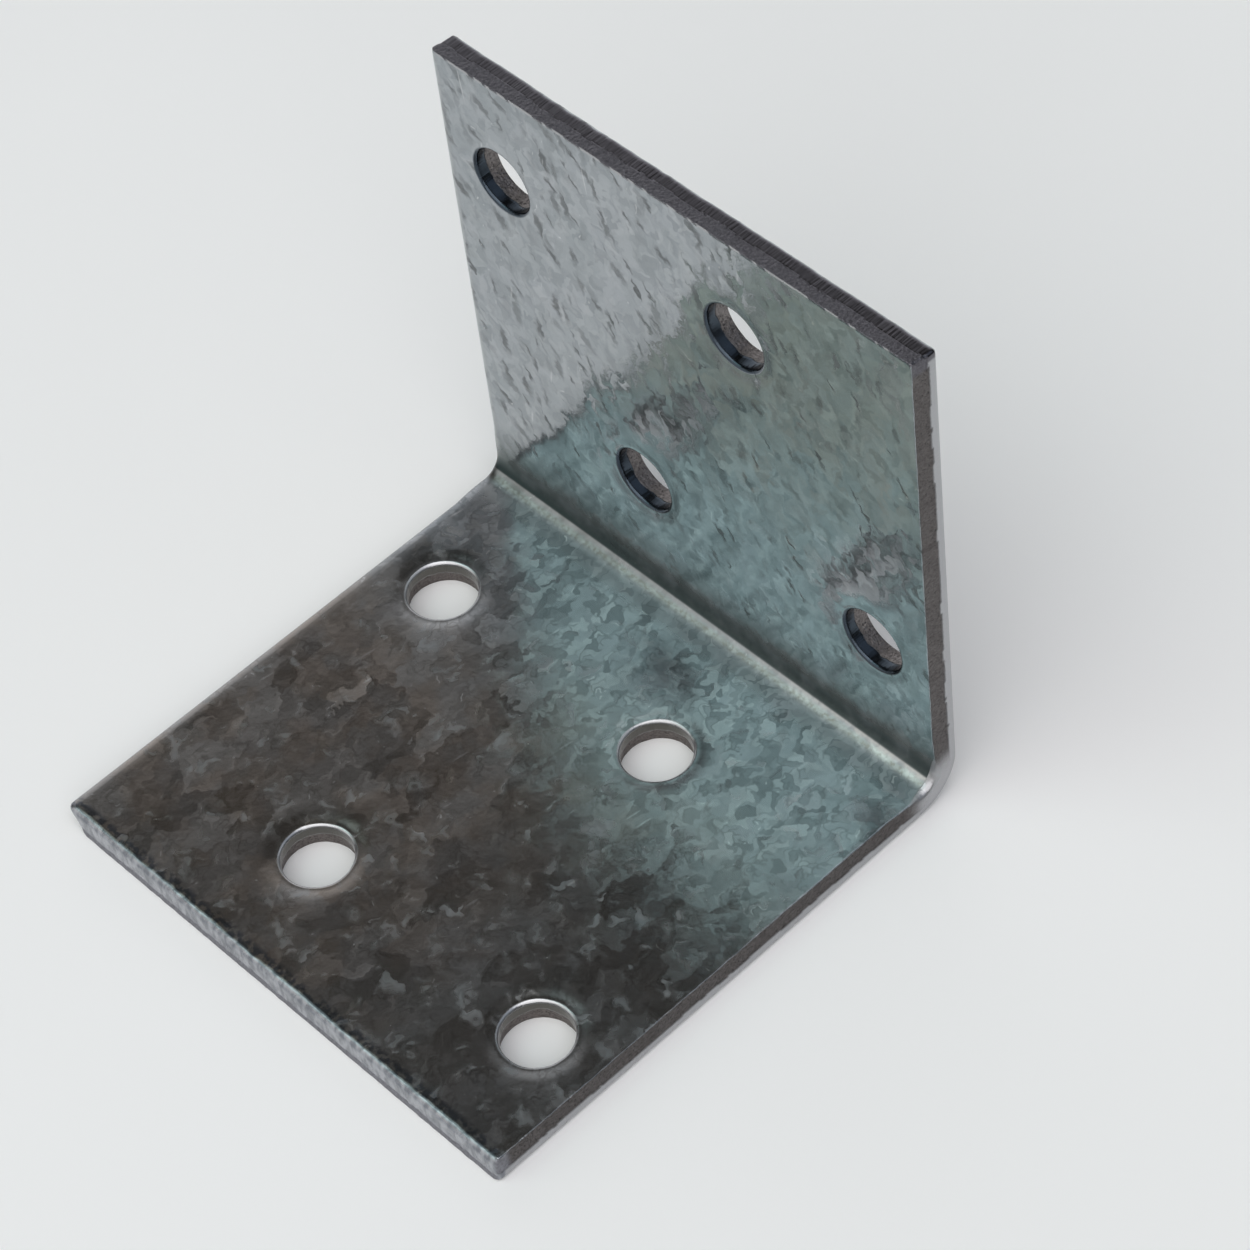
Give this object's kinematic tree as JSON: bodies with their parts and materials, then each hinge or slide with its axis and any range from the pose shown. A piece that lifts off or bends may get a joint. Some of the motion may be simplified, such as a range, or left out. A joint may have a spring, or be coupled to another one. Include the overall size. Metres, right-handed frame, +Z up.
{
  "type": "angle bracket",
  "caption": "Galvanised sheet-steel angle bracket: a strip folded to a right angle with equal legs and staggered screw holes, for joining two members in a corner.",
  "frame": {"origin": "middle of the footprint, on the surface that the base leg stands on", "axes": "+Z up along the wall leg, +Y towards the back of the wall leg, +X along the fold"},
  "size_m": [0.0404, 0.04, 0.04],
  "materials": {
    "galvanised_sheet": "hot-dip galvanised with visible spangle, bare grey at the cut edges"
  },
  "bodies": {
    "root": {"angle_bracket": "galvanised_sheet"}
  },
  "joints": []
}
